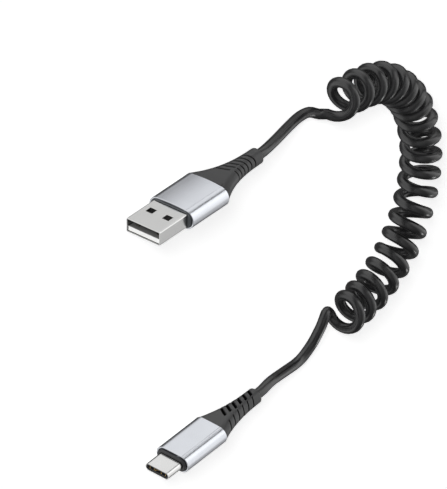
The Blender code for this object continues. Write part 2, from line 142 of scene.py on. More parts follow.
class CableUsbASizes(bpy.types.PropertyGroup):
    """Sizes of the USB-A plug, from its mouth back along the plug"""

    shell_width: length_property("Shell width", "Width of the metal shell", 0.0120)
    shell_thick: length_property("Shell thickness", "Thickness of the metal shell", 0.0045)
    shell_wall: length_property("Shell wall", "Sheet the shell is folded from", 0.0003)
    shell_corner: length_property("Shell corner", "Outer radius of the shell's folds", 0.0004)
    shell_exposed: length_property("Shell length", "Length of shell in front of the collar", 0.0118)
    shell_root: length_property("Shell root", "Length of shell inside the plug", 0.0040)
    collar_proud: length_property("Collar", "How far the collar stands in front of the sleeve", 0.0005)
    sleeve_width: length_property("Sleeve width", "Width of the metal sleeve", 0.0158)
    sleeve_thick: length_property("Sleeve thickness", "Thickness of the metal sleeve", 0.0066)
    sleeve_corner: length_property("Sleeve corner", "Outer radius of the sleeve's corners", 0.0029)
    sleeve_length: length_property("Sleeve length", "Length of the metal sleeve", 0.0157)
    sleeve_crown: length_property("Sleeve crown", "Drop of its wide faces at their edges", 0.00026)
    relief_length: length_property("Strain relief length", "Length of the strain relief", 0.02175)
    relief_end: length_property("Strain relief end", "Diameter where the cord leaves it", 0.0049)
    slot_pitch: length_property("Slot pitch", "Distance from one slot to the next", 0.00187)
    slot_length: length_property("Slot length", "Length of each slot along the plug", 0.0007)
    slot_depth: length_property("Slot depth", "Depth of the slots on the wide faces", 0.0009)
    slot_far: length_property("Slot far end", "Reach of the slots towards the floor", 0.0026)
    slot_near: length_property("Slot near end", "Reach of the slots away from the floor", 0.0012)
    slot_slant: slant_property(0.45)
    end_collar: length_property("End collar", "Plain length behind the last slot", 0.0047)


class CableUsbCSizes(bpy.types.PropertyGroup):
    """Sizes of the USB-C plug, from its mouth back along the plug"""

    shell_width: length_property("Shell width", "Width of the metal shell", 0.00825)
    shell_thick: length_property("Shell thickness", "Thickness of the metal shell", 0.0024)
    shell_wall: length_property("Shell wall", "Wall of the drawn shell", 0.00025)
    shell_corner: length_property("Shell corner", "Outer radius of the shell's round ends", 0.00115)
    shell_exposed: length_property("Shell length", "Length of shell in front of the collar", 0.0061)
    shell_root: length_property("Shell root", "Length of shell inside the plug", 0.0030)
    collar_proud: length_property("Collar", "How far the collar stands in front of the sleeve", 0.0007)
    sleeve_width: length_property("Sleeve width", "Width of the metal sleeve", 0.0114)
    sleeve_thick: length_property("Sleeve thickness", "Thickness of the metal sleeve", 0.0055)
    sleeve_corner: length_property("Sleeve corner", "Outer radius of the sleeve's corners", 0.00265)
    sleeve_length: length_property("Sleeve length", "Length of the metal sleeve", 0.0172)
    sleeve_crown: length_property("Sleeve crown", "Drop of its wide faces at their edges", 0.00004)
    relief_length: length_property("Strain relief length", "Length of the strain relief", 0.01945)
    relief_end: length_property("Strain relief end", "Diameter where the cord leaves it", 0.0047)
    slot_pitch: length_property("Slot pitch", "Distance from one slot to the next", 0.0023)
    slot_length: length_property("Slot length", "Length of each slot along the plug", 0.0011)
    slot_depth: length_property("Slot depth", "Depth of the slots on the wide faces", 0.0010)
    slot_far: length_property("Slot far end", "Reach of the slots towards the floor", 0.0022)
    slot_near: length_property("Slot near end", "Reach of the slots away from the floor", 0.0008)
    slot_slant: slant_property(-0.5)
    end_collar: length_property("End collar", "Plain length behind the last slot", 0.0024)


class CableCordSizes(bpy.types.PropertyGroup):
    """Sizes of the cord and of its turns"""

    diameter: length_property("Cord diameter", "Diameter of the cord's jacket", 0.0031)
    turn_radius: length_property("Turn radius", "Radius of each turn, at the middle of the cord", 0.0046)
    sleeve_wall: length_property("Sleeve wall", "Wall of both metal sleeves", 0.0005)
    seat_gap: length_property("Seat gap", "Clearance between pieces that seat in each other", 0.00015)


class CableFinishes(bpy.types.PropertyGroup):
    """Colours of the finishes"""

    steel: colour_property("Plug steel", "Nickel-plated steel of both shells", (0.58, 0.58, 0.575))
    aluminium: colour_property("Sleeve aluminium", "Satin anodised aluminium", (0.56, 0.575, 0.61))
    gold: colour_property("Contacts", "Gold plating of the contacts", (0.78, 0.53, 0.22))
    nickel: colour_property("USB-A contacts", "Pale plating of the USB-A contacts", (0.42, 0.39, 0.34))
    white: colour_property("White insulator", "Moulded plastic in the USB-A plug", (0.78, 0.78, 0.77))
    black: colour_property("Black insulator", "Moulded plastic in the USB-C plug", (0.012, 0.012, 0.013))
    mould: colour_property("Dark collar", "Moulded collar by the USB-C sleeve", (0.018, 0.018, 0.020))
    collar: colour_property("Grey collar", "Moulded collar by the USB-A sleeve", (0.055, 0.060, 0.065))
    relief: colour_property("Strain relief", "Soft plastic of the strain reliefs", (0.034, 0.034, 0.035))
    # Painted shade: this colour darkens the insides of the reliefs' slots and grooves
    slots: colour_property("Slots", "Inside of the slots and grooves", (0.002, 0.002, 0.002))
    jacket: colour_property("Cord jacket", "Soft plastic of the cord", (0.010, 0.010, 0.0105))
    floor: colour_property("Floor", "The pale floor", (0.90, 0.90, 0.90))


class CableStudio(bpy.types.PropertyGroup):
    """Camera and lights"""

    scale: bpy.props.FloatProperty(
        name="Picture scale", description="Pixels of the picture for each millimetre", default=3.5933,
    )
    lens: bpy.props.FloatProperty(
        name="Lens", description="Focal length in millimetres", default=1400.0, unit="CAMERA",
    )
    tilt: bpy.props.FloatProperty(
        name="Tilt", description="Angle of the view to the plugs' wide faces",
        default=math.radians(33.3), subtype="ANGLE", unit="ROTATION",
    )
    swing: bpy.props.FloatProperty(
        name="Swing", description="Angle of the view round the square to the wide faces",
        default=math.radians(39.17), subtype="ANGLE", unit="ROTATION",
    )
    sky: strength_property("Room light", "Light from the room's walls, as the pieces mirror it", 1.0)
    table: strength_property("Table light", "Light from within the pale table", 0.84)
    key: strength_property("Key light", "Broad light from the camera's side", 1.3)
    fill: strength_property("Fill light", "Light without shadows on the plugs' mouths", 1.2)
    rim: strength_property("Rim light", "Gloss along the cord's lower edge", 0.3)


# Where each plug lies: the middle of its mouth, its turn about Z and its roll, in degrees
PLUG_PLACES = {
    "usb_a": ((-0.0261, 0.0422), 0.0, 0.0),
    "usb_c": ((-0.0176, -0.0430), 4.0, 4.0),
}

# Shells
FOLD_STEPS = {"usb_a": 5, "usb_c": 12}
SHELL_EDGE = 0.00006
WINDOW_SIZE = 0.0023
WINDOW_SPACING = 0.0059
WINDOW_SETBACK = 0.0072
SEAM_HALF = 0.00004

# Insulators and contacts; the springs are rows of twelve places, counted as in the part
WHITE_EDGE = 0.00008
BLACK_EDGE = 0.00006
CONTACT_EDGE = 0.00003
PINS_A_ROW = 12
PIN_PITCH = 0.0005
SPRING_WIDTH = 0.0003
SPRING_REACH = 0.00019
SPRING_SEAT = 0.00037
SPRING_START = 0.00035
SPRING_END = 0.0056
SPRING_LEAD_IN = 0.00006
SPRING_EDGE = 0.00002
FINE_EDGE_ANGLE = 35
MERGE_DISTANCE = 0.000002
CLOSE = 1e-7

# Collars and sleeves, and how finely a plug's outline is drawn
COLLAR_EDGE = 0.0003
SLEEVE_EDGE = 0.00012
SLEEVE_EDGE_ANGLE = 60
CORNER_STEPS = 14
WIDE_STEPS = 16
NARROW_STEPS = 4

# Strain reliefs: the shape from the sleeve to the round end, then the slots and grooves
RELIEF_FLARE = {"usb_a": 2.6, "usb_c": 2.3}
RELIEF_INSET = 0.0002
RELIEF_RINGS = 40
END_CORNER = 0.48
END_ROUND = 0.00025
END_STEPS = 5
SLOT_COUNT = 6
SLOT_EDGE = 0.00008
SPAN_EDGE = 0.0002
SIDE_GROOVE_LENGTH = 0.00045
SIDE_GROOVE_DEPTH = 0.00028
GROOVE_SLOPE = 0.35
GROOVE_BLEND = 0.15
# How much painted shade the side grooves get
GROOVE_PAINTED_SHADE = 0.9
EDGE_RINGS = (-0.00005, -0.00002, 0.0, 0.00002, 0.00005)
CLOSEST_RINGS = 0.000008
# The hole for the cord: how much wider than the cord it is, and how far in
HOLE = ((0.0006, 0.0), (0.0002, 0.0001), (0.00004, 0.0005))

# Painted shade inside the USB-A mouth: tone of the white plastic, as a share of this distance behind the
# mouth
PAINTED_SHADE_DEPTH = 0.006
PAINTED_SHADE_TONES = ((0.00, 1.00), (0.06, 1.00), (0.09, 0.22), (0.45, 0.10), (1.00, 0.03))

# The studio: what the camera looks at, the room's walls from level to straight up, and the
# ways to the lights with the angles that they fill
VIEW_CENTRE = Vector((0.01182, 0.01783, 0.00566))
PICTURE_HEIGHT = 489
CLIP = (1, 60)
FLOOR_RADIUS = 4.0
WALL_TONES = (
    (0.00, 0.95), (0.10, 1.00), (0.17, 0.95), (0.20, 0.04), (0.33, 0.03), (0.40, 1.80),
    (0.72, 1.85), (0.84, 1.15), (1.00, 1.10),
)
KEY_WAY, KEY_ANGLE = (-0.642, 0.635, 0.430), 12
FILL_WAY, FILL_ANGLE = (-0.90, 0.25, 0.35), 40
RIM_WAY, RIM_ANGLE = (0.380, -0.780, 0.497), 14


def sizes(plug):
    scene = bpy.context.scene
    return scene.cable_usb_a if plug == "usb_a" else scene.cable_usb_c


def plug_place(plug):
    """The matrix that takes a piece from the plug's own axes to where the plug lies."""
    mouth, turn, roll = PLUG_PLACES[plug]
    spot = Matrix.Translation((mouth[0], mouth[1], sizes(plug).sleeve_width / 2))
    turned = Matrix.Rotation(math.radians(turn), 4, "Z")
    return spot @ turned @ Matrix.Rotation(math.radians(roll), 4, "X")


# ---------------------------------------------------------------- shader maths


class Signal:
    """A shader socket that takes part in Python arithmetic."""

    def __init__(self, tree, socket):
        self.tree = tree
        self.socket = socket

    def maths(self, operation, first, second):
        node = self.tree.nodes.new("ShaderNodeMath")
        node.operation = operation
        for slot, value in zip(node.inputs, (first, second)):
            if isinstance(value, Signal):
                self.tree.links.new(value.socket, slot)
            else:
                slot.default_value = value
        return Signal(self.tree, node.outputs[0])

    def __add__(self, other):
        return self.maths("ADD", self, other)

    def __radd__(self, other):
        return self.maths("ADD", other, self)

    def __sub__(self, other):
        return self.maths("SUBTRACT", self, other)

    def __rsub__(self, other):
        return self.maths("SUBTRACT", other, self)

    def __mul__(self, other):
        return self.maths("MULTIPLY", self, other)

    def __rmul__(self, other):
        return self.maths("MULTIPLY", other, self)

    def at_least(self, other):
        return self.maths("MAXIMUM", self, other)

    def at_most(self, other):
        return self.maths("MINIMUM", self, other)


class Finish:
    """A node tree that is built with one call for each node."""

    def __init__(self, owner):
        owner.use_nodes = True
        self.owner = owner
        self.tree = owner.node_tree

    def node(self, kind, settings=None, values=None, output=0):
        """Adds a node with its settings and its values or links, and gives one of its outputs."""
        node = self.tree.nodes.new(kind)
        for name, value in (settings or {}).items():
            if name == "stops":
                self.set_stops(node.color_ramp, value)
            else:
                setattr(node, name, value)
        for name, value in (values or {}).items():
            self.feed(node.inputs[name], value)
        return Signal(self.tree, node.outputs[output])

    def set_stops(self, ramp, stops):
        """Gives a colour ramp its greys."""
        while len(ramp.elements) < len(stops):
            ramp.elements.new(1.0)
        for element, (spot, shade) in zip(ramp.elements, stops):
            element.position = spot
            element.color = (shade, shade, shade, 1.0)

    def feed(self, slot, value):
        if isinstance(value, Signal):
            self.tree.links.new(value.socket, slot)
        else:
            slot.default_value = value

    def surface(self, values):
        shader = self.tree.nodes["Principled BSDF"]
        for name, value in values.items():
            self.feed(shader.inputs[name], value)

    def place(self, turn=0.0, roll=0.0, stretch=(1, 1, 1)):
        """Object coordinates, turned to a plug's own axes and stretched."""
        spot = self.node("ShaderNodeTexCoord", output=3)
        spot = self.map(spot, "Rotation", (0, 0, -math.radians(turn)))
        if roll:
            spot = self.map(spot, "Rotation", (-math.radians(roll), 0, 0))
        return self.map(spot, "Scale", stretch)

    def map(self, spot, change, value):
        """A place or a direction, turned or stretched."""
        return self.node("ShaderNodeMapping", {}, {"Vector": spot, change: value})

    def split(self, way):
        """The three parts of a vector."""
        node = self.tree.nodes.new("ShaderNodeSeparateXYZ")
        self.feed(node.inputs[0], way)
        return [Signal(self.tree, socket) for socket in node.outputs]

    def noise(self, spot, scale, detail, roughness):
        return self.node(
            "ShaderNodeTexNoise", {},
            {"Vector": spot, "Scale": scale, "Detail": detail, "Roughness": roughness},
        )

    def mix(self, share, first, second):
        """Two colours mixed by a share."""
        node = self.tree.nodes.new("ShaderNodeMix")
        node.data_type = "RGBA"
        for number, value in ((0, share), (6, first), (7, second)):
            self.feed(node.inputs[number], value)
        return Signal(self.tree, node.outputs[2])

    def bump(self, height, strength, distance):
        return self.node(
            "ShaderNodeBump", {}, {"Height": height, "Strength": strength, "Distance": distance},
        )


def rgba(colour, shade=1.0):
    return (*[min(1.0, channel * shade) for channel in colour], 1.0)


def new_finish(name):
    return Finish(bpy.data.materials.new(name))


def metal_finish(name, colour, plug, rough, streak, grain):
    """Metal with fine streaks along the plug and a faint satin grain."""
    _, turn, roll = PLUG_PLACES[plug]
    finish = new_finish(name)
    streaks = finish.noise(finish.place(turn, roll, (90, 5200, 5200)), 1.0, 3.0, 0.6)
    blast = finish.noise(finish.place(turn, roll), 5200, 2.0, 0.6)
    cloud = finish.noise(finish.place(turn, roll), 160, 3.0, 0.55)
    tone = finish.mix(cloud, rgba(colour, 0.93), rgba(colour, 1.05))
    height = streaks * streak + blast * grain
    finish.surface({
        "Base Color": tone,
        "Metallic": 1.0,
        "Roughness": rough + (cloud - 0.5) * 0.06 + (streaks - 0.5) * 0.08,
        "Normal": finish.bump(height, 0.25, 0.00001),
    })
    return finish.owner


def plastic_finish(name, colour, rough, grain_scale, grain, lift, slots=None):
    """Moulded plastic: a fine grain, slightly uneven gloss and faint tone changes.

    With a colour for slots, it mixes in a shader of that colour without gloss where the piece's
    per-point attribute says so: painted shade in the slots and grooves.
    """
    finish = new_finish(name)
    spot = finish.place()
    fine = finish.noise(spot, grain_scale, 3.0, 0.6)
    cloud = finish.noise(spot, 210, 4.0, 0.6)
    tone = finish.mix(cloud, rgba(colour, 2 - lift), rgba(colour, lift))
    finish.surface({
        "Base Color": tone,
        "Roughness": rough + (cloud - 0.5) * 0.14 + (fine - 0.5) * 0.08,
        "Normal": finish.bump(fine + cloud * 0.5, 0.35, grain),
    })
    if slots:
        # painted shade: slots and grooves turn to a flat black shader by the piece's attribute
        depth = finish.node("ShaderNodeAttribute", {"attribute_name": "depth"}, output=2)
        shade = (depth * 1.6 - 0.3).at_least(0.0).at_most(1.0)
        painted_shade_shader = finish.node(
            "ShaderNodeBsdfPrincipled", {},
            {"Base Color": rgba(slots), "Roughness": 0.9, "Specular IOR Level": 0.0},
        )
        lit = Signal(finish.tree, finish.tree.nodes["Principled BSDF"].outputs[0])
        both = finish.node("ShaderNodeMixShader", {}, {0: shade, 1: lit, 2: painted_shade_shader})
        finish.feed(finish.tree.nodes["Material Output"].inputs["Surface"], both)
    return finish.owner


def insulator_finish(name, colour):
    """White plastic with painted shade: its tone falls off from the mouth inwards."""
    finish = new_finish(name)
    spot = finish.place()
    fine = finish.noise(spot, 2600, 3.0, 0.6)
    # painted shade: the white turns darker the further it lies behind the mouth
    inwards = (finish.split(spot)[0] - PLUG_PLACES["usb_a"][0][0]) * (1 / PAINTED_SHADE_DEPTH)
    shade = finish.node("ShaderNodeValToRGB", {"stops": PAINTED_SHADE_TONES}, {"Fac": inwards})
    tone = finish.mix(fine, rgba(colour, 0.98), rgba(colour, 1.02))
    finish.surface({
        "Base Color": finish.mix(shade, (0, 0, 0, 1), tone),
        "Roughness": 0.45 + (fine - 0.5) * 0.1,
        "Normal": finish.bump(fine, 0.35, 0.00001),
    })
    return finish.owner


def cord_finish(name, colour):
    """Soft plastic with faint streaks drawn out along the cord."""
    finish = new_finish(name)
    along = finish.node("ShaderNodeTexCoord", output=2)
    streaks = finish.noise(finish.map(along, "Scale", (30, 18, 1)), 1.0, 3.0, 0.55)
    fine = finish.noise(finish.place(), 3600, 3.0, 0.6)
    cloud = finish.noise(finish.place(), 160, 3.0, 0.6)
    finish.surface({
        "Base Color": finish.mix(streaks, rgba(colour, 0.7), rgba(colour, 1.35)),
        "Roughness": 0.27 + (streaks - 0.5) * 0.3 + (cloud - 0.5) * 0.14,
        "Specular IOR Level": 0.6,
        "Normal": finish.bump(streaks + fine * 0.25, 0.6, 0.00007),
    })
    return finish.owner


# ---------------------------------------------------------------- modelling


def deselect():
    bpy.ops.object.select_all(action="DESELECT")


def pick(piece):
    """Makes the piece the only one selected, and the active one."""
    deselect()
    piece.select_set(True)
    bpy.context.view_layer.objects.active = piece


def block(name, low, high):
    """A box between two corners, with its place in its mesh."""
    deselect()
    low, high = Vector(low), Vector(high)
    bpy.ops.mesh.primitive_cube_add(size=1, location=(low + high) / 2, scale=high - low)
    piece = bpy.context.object
    bpy.ops.object.transform_apply(location=True, rotation=True, scale=True)
    piece.name = name
    piece.data.name = name
    return piece


class Edit:
    """Edit mode on one piece: what is selected is chosen in code, by place or normal."""

    def __init__(self, piece, mode):
        self.piece = piece
        self.mode = mode

    def __enter__(self):
        pick(self.piece)
        bpy.ops.object.mode_set(mode="EDIT")
        bpy.ops.mesh.select_mode(type=self.mode)
        bpy.ops.mesh.select_all(action="DESELECT")
        return self

    def __exit__(self, *_):
        bpy.ops.object.mode_set(mode="OBJECT")

    def choose(self, test):
        bpy.ops.mesh.select_all(action="DESELECT")
        mesh = bmesh.from_edit_mesh(self.piece.data)
        for item in {"VERT": mesh.verts, "EDGE": mesh.edges, "FACE": mesh.faces}[self.mode]:
            if test(item):
                item.select_set(True)
        mesh.select_flush_mode()
        bmesh.update_edit_mesh(self.piece.data)


def runs_along(edge):
    """True for an edge along the plug."""
    along, up, across = edge.verts[0].co - edge.verts[1].co
    return abs(along) > 10 * max(abs(up), abs(across))


def round_bar(name, start, end, width, thick, corner, segments=10):
    """A bar along the plug whose section is a rounded rectangle."""
    bar = block(name, (start, -thick / 2, -width / 2), (end, thick / 2, width / 2))
    with Edit(bar, "EDGE") as edit:
        edit.choose(runs_along)
        bpy.ops.mesh.bevel(offset=corner, segments=segments, affect="EDGES", clamp_overlap=False)
    return bar


def apply_modifiers(piece):
    pick(piece)
    for modifier in list(piece.modifiers):
        bpy.ops.object.modifier_apply(modifier=modifier.name)


def hollow(piece, wall):
    """Opens both ends of a bar and gives the rest a wall, inwards."""
    with Edit(piece, "FACE") as edit:
        edit.choose(lambda face: abs(face.normal.x) > 0.9)
        bpy.ops.mesh.delete(type="FACE")
    solidify = piece.modifiers.new("wall", "SOLIDIFY")
    solidify.thickness = wall
    solidify.offset = -1
    solidify.use_even_offset = True
    apply_modifiers(piece)


def cut(piece, cutters):
    for cutter in cutters:
        boolean = piece.modifiers.new("cut", "BOOLEAN")
        boolean.object = cutter
        boolean.operation = "DIFFERENCE"
        boolean.solver = "EXACT"
    apply_modifiers(piece)
    for cutter in cutters:
        bpy.data.objects.remove(cutter, do_unlink=True)


def soften(piece, width, segments=2, angle=40):
    """Rounds the sharp edges."""
    bevel = piece.modifiers.new("edges", "BEVEL")
    bevel.width = width
    bevel.segments = segments
    bevel.limit_method = "ANGLE"
    bevel.angle_limit = math.radians(angle)
    bevel.harden_normals = False
    apply_modifiers(piece)


def finish_piece(piece, material, nodes, place=None, angle=32, even=True):
    """Sets the piece in its place, smooths it, and gives it its finish and its body."""
    pick(piece)
    if place is not None:
        piece.matrix_world = place
        bpy.ops.object.transform_apply(location=True, rotation=True, scale=True)
    bpy.ops.object.shade_smooth_by_angle(angle=math.radians(angle))
    if even:
        normals = piece.modifiers.new("even flats", "WEIGHTED_NORMAL")
        normals.keep_sharp = True
        normals.weight = 80
        apply_modifiers(piece)
    piece.data.materials.clear()
    piece.data.materials.append(material)
    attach(piece, "root")
    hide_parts(*nodes)
    return piece


def flat_steps(quarter):
    """Parts of the flat that follows a quarter of the outline."""
    return NARROW_STEPS if quarter in (0, 2) else WIDE_STEPS


def corner_angle(quarter, step):
    """The way a corner faces at a step, as an angle from +Y to +Z."""
    return math.pi / 2 * (quarter + step / CORNER_STEPS)


def outline(width, thick, corner):
    """Points (y, z) round a rounded rectangle, evenly spread on its flats."""

    def corner_point(quarter, step):
        angle = corner_angle(quarter, step)
        side_y = 1 if quarter % 4 in (0, 3) else -1
        side_z = 1 if quarter % 4 in (0, 1) else -1
        return (
            side_y * (thick / 2 - corner) + corner * math.cos(angle),
            side_z * (width / 2 - corner) + corner * math.sin(angle),
        )

    points = []
    for quarter in range(4):
        points += [corner_point(quarter, step) for step in range(CORNER_STEPS + 1)]
        (start_y, start_z), (end_y, end_z) = points[-1], corner_point(quarter + 1, 0)
        flat = flat_steps(quarter)
        for step in range(1, flat):
            share = step / flat
            points.append((start_y + (end_y - start_y) * share, start_z + (end_z - start_z) * share))
    return points


def outline_turns():
    """The way each point of the outline faces."""
    turns = []
    for quarter in range(4):
        turns += [corner_angle(quarter, step) for step in range(CORNER_STEPS + 1)]
        turns += [corner_angle(quarter + 1, 0)] * (flat_steps(quarter) - 1)
    return turns


def draw_out(name, rings):
    """Starts from a flat ring and draws it out by extruding it from station to station."""
    deselect()
    bpy.ops.mesh.primitive_circle_add(vertices=len(rings[0]), radius=0.001, fill_type="NGON")
    piece = bpy.context.object
    piece.name = name
    piece.data.name = name
    for vertex, point in zip(piece.data.vertices, rings[0]):
        vertex.co = point
    with Edit(piece, "FACE") as edit:
        edit.choose(lambda face: True)
        for ring in rings[1:]:
            bpy.ops.mesh.extrude_region_move(TRANSFORM_OT_translate={"value": (0, 0, 0)})
            mesh = bmesh.from_edit_mesh(piece.data)
            newest = [vertex for vertex in mesh.verts if vertex.select]
            for vertex, point in zip(newest, ring):
                vertex.co = point
            bmesh.update_edit_mesh(piece.data)
        edit.choose(lambda face: True)
        bpy.ops.mesh.normals_make_consistent(inside=False)
    return piece


# ---------------------------------------------------------------- the cord


def curve_point(before, start, end, after, share):
    """A point on the smooth curve through four route points, between the middle two."""
    square = share * share
    cube = square * share
    return 0.5 * (
        2 * start
        + (end - before) * share
        + (2 * before - 5 * start + 4 * end - after) * square
        + (3 * start - before - 3 * end + after) * cube
    )


def through(values, share):
    """A smooth value through three: at the start, half way and at the end."""
    first, middle, last = values
    rest = 1 - share
    return first * rest * (1 - 2 * share) + 4 * middle * share * rest + last * share * (2 * share - 1)


def coil_middle(turn):
    """The middle of the coil at a turn, and the way it runs there."""
    place = (turn - FIRST_MIDDLE_TURN) / TURNS_A_POINT
    knot = max(0, min(len(COIL_MIDDLE) - 4, math.floor(place)))
    four = [Vector((*COIL_MIDDLE[knot + i], COIL_HEIGHT)) for i in range(4)]
    share = place - knot
    way = curve_point(*four, share + CURVE_STEP) - curve_point(*four, share - CURVE_STEP)
    return curve_point(*four, share), way.normalized()


def turn_point(turn, radius):
    """The middle of the cord at a turn of the coil."""
    here, way = coil_middle(turn)
    outwards = Vector((-way.y, way.x, 0))
    angle = math.tau * turn + TURN_START
    share = turn / COIL_TURNS
    lean = through(LEAN_OUTSIDE, share) * math.cos(angle) + through(LEAN_ABOVE, share) * math.sin(angle)
    up = Vector((0, 0, -1))
    return here + radius * (math.cos(angle) * outwards + math.sin(angle) * up) + lean * way


def smooth_part(points, step):
    """Points about one step apart, between the second and the last but one route point."""
    found = []
    for i in range(1, len(points) - 2):
        pieces = max(1, round((points[i + 1] - points[i]).length / step))
        for number in range(pieces):
            found.append(curve_point(*points[i - 1:i + 3], number / pieces))
    return found


def plug_exit(plug):
    """Where the cord leaves the plug's strain relief, a little inside it, and which way."""
    own = sizes(plug)
    place = plug_place(plug)
    gap = bpy.context.scene.cable_cord.seat_gap
    length = own.shell_exposed + own.collar_proud + own.sleeve_length + gap + own.relief_length
    way = (place.to_3x3() @ Vector((1, 0, 0))).normalized()
    return place @ Vector((length - CORD_SEAT, 0, 0)), way


def cord_points():
    radius = bpy.context.scene.cable_cord.turn_radius
    a_start, a_way = plug_exit("usb_a")
    c_start, c_way = plug_exit("usb_c")
    a_lead = [a_start - a_way * CORD_STRAIGHT, a_start, a_start + a_way * CORD_STRAIGHT]
    a_lead += [Vector(point) for point in A_LEAD_ROUTE]
    a_lead += [turn_point(FIRST_TURN, radius), turn_point(FIRST_TURN + LEAD_STEP_TURNS, radius)]
    c_lead = [turn_point(LAST_TURN - LEAD_STEP_TURNS, radius), turn_point(LAST_TURN, radius)]
    c_lead += [Vector(point) for point in C_LEAD_ROUTE]
    c_lead += [c_start + c_way * CORD_STRAIGHT, c_start, c_start - c_way * CORD_STRAIGHT]
    count = round((LAST_TURN - FIRST_TURN) * POINTS_A_TURN)
    turns = [
        turn_point(FIRST_TURN + (LAST_TURN - FIRST_TURN) * number / count, radius)
        for number in range(count)
    ]
    return smooth_part(a_lead, CORD_STEP) + turns + smooth_part(c_lead, CORD_STEP) + [c_start]


class CABLE_OT_cord(bpy.types.Operator):
    """Lays the cord from one strain relief through the coil to the other"""

    bl_idname = "cable.cord"
    bl_label = "Cord"

    def execute(self, context):
        own = context.scene.cable_cord
        points = cord_points()
        curve = bpy.data.curves.new("cord", "CURVE")
        curve.dimensions = "3D"
        curve.bevel_depth = own.diameter / 2
        curve.bevel_resolution = 6
        curve.use_fill_caps = True
        spline = curve.splines.new("POLY")
        spline.points.add(len(points) - 1)
        for spot, point in zip(spline.points, points):
            spot.co = (*point, 1)
        spline.use_smooth = True
        cord = bpy.data.objects.new("cord", curve)
        context.scene.collection.objects.link(cord)
        colours = context.scene.cable_finishes
        curve.materials.append(cord_finish("cord_jacket", colours.jacket))
        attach(cord, "root")
        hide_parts("lead_usb_a", "coil", "lead_usb_c")
        length = sum((after - before).length for before, after in zip(points, points[1:]))
        return {"FINISHED"}


# ---------------------------------------------------------------- the plugs


class CABLE_OT_shells(bpy.types.Operator):
    """Makes both metal shells"""

    bl_idname = "cable.shells"
    bl_label = "Plug shells"

    def execute(self, context):
        colours = context.scene.cable_finishes
        for plug in PLUG_PLACES:
            own = sizes(plug)
            shell = round_bar(
                plug + "_shell_dressed", 0, own.shell_exposed + own.shell_root, own.shell_width,
                own.shell_thick, own.shell_corner, FOLD_STEPS[plug],
            )
            hollow(shell, own.shell_wall)
            if plug == "usb_a":
                cut(shell, [*self.windows(own), self.seam(own)])
            soften(shell, SHELL_EDGE)
            steel = metal_finish(plug + "_steel", colours.steel, plug, 0.20, 0.5, 0.5)
            finish_piece(shell, steel, [plug + "_shell"], plug_place(plug))
        return {"FINISHED"}

    def windows(self, own):
        """Cutters for the latch windows of both wide faces."""
        half = WINDOW_SIZE / 2
        found = []
        for side in (-1, 1):
            z = side * WINDOW_SPACING / 2
            found.append(block(
                "window", (WINDOW_SETBACK - half, -own.shell_thick, z - half),
                (WINDOW_SETBACK + half, own.shell_thick, z + half),
            ))
        return found

    def seam(self, own):
        """Cutter for the gap where the sheet meets itself, away from the contacts."""
        end = own.shell_exposed + own.shell_root + SEAM_HALF
        return block(
            "seam", (-SEAM_HALF, -own.shell_thick, -SEAM_HALF), (end, -own.shell_thick / 4, SEAM_HALF),
        )


class CABLE_OT_insulators(bpy.types.Operator):
    """Makes both insulators and the contacts in them"""

    bl_idname = "cable.insulators"
    bl_label = "Insulators and contacts"

    def execute(self, context):
        colours = context.scene.cable_finishes
        white = insulator_finish("insulator_white", colours.white)
        black = plastic_finish("insulator_black", colours.black, 0.40, 2600, 0.00001, 1.10)
        gold = metal_finish("contact_gold", colours.gold, "usb_c", 0.24, 0.6, 0.3)
        nickel = metal_finish("contact_nickel", colours.nickel, "usb_a", 0.24, 0.6, 0.3)
        self.soften_copy("usb_a_insulator", WHITE_EDGE, white, "white_insulator")
        self.soften_copy("usb_c_insulator", BLACK_EDGE, black, "black_insulator")
        for node in sorted(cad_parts):
            if "usb_a_contact" in node:
                self.soften_copy(node, CONTACT_EDGE, nickel, "contact_plating")
            elif "contact" in node:
                self.spring(node, gold)
        return {"FINISHED"}

    def spring(self, node, material):
        """A flat spring in the USB-C plug's room, with a lead-in at its front."""
        row = 1 if "upper" in node else -1
        z = (int(node.rsplit("_", 1)[1]) - (PINS_A_ROW + 1) / 2) * PIN_PITCH
        low, high = sorted((row * SPRING_REACH, row * SPRING_SEAT))
        spring = block(
            node + "_dressed", (SPRING_START, low, z - SPRING_WIDTH / 2),
            (SPRING_END, high, z + SPRING_WIDTH / 2),
        )
        with Edit(spring, "EDGE") as edit:
            edit.choose(lambda edge: all(
                vertex.co.x < SPRING_START + CLOSE and abs(vertex.co.y) < SPRING_REACH + CLOSE
                for vertex in edge.verts
            ))
            bpy.ops.mesh.bevel(offset=SPRING_LEAD_IN, segments=3, affect="EDGES")
        soften(spring, SPRING_EDGE, 2, FINE_EDGE_ANGLE)
        finish_piece(spring, material, [node], plug_place("usb_c"))

    def soften_copy(self, node, width, material, slot):
        """A copy of a solid with its triangles merged into faces and its edges rounded."""
        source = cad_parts[node]
        piece = bpy.data.objects.new(node + "_dressed", source.data.copy())
        bpy.context.scene.collection.objects.link(piece)
        with Edit(piece, "VERT") as edit:
            edit.choose(lambda vertex: True)
            bpy.ops.mesh.remove_doubles(threshold=MERGE_DISTANCE)
            bpy.ops.mesh.dissolve_limited(angle_limit=math.radians(1))
        soften(piece, width, 2, FINE_EDGE_ANGLE)
        finish_piece(piece, material, [node])


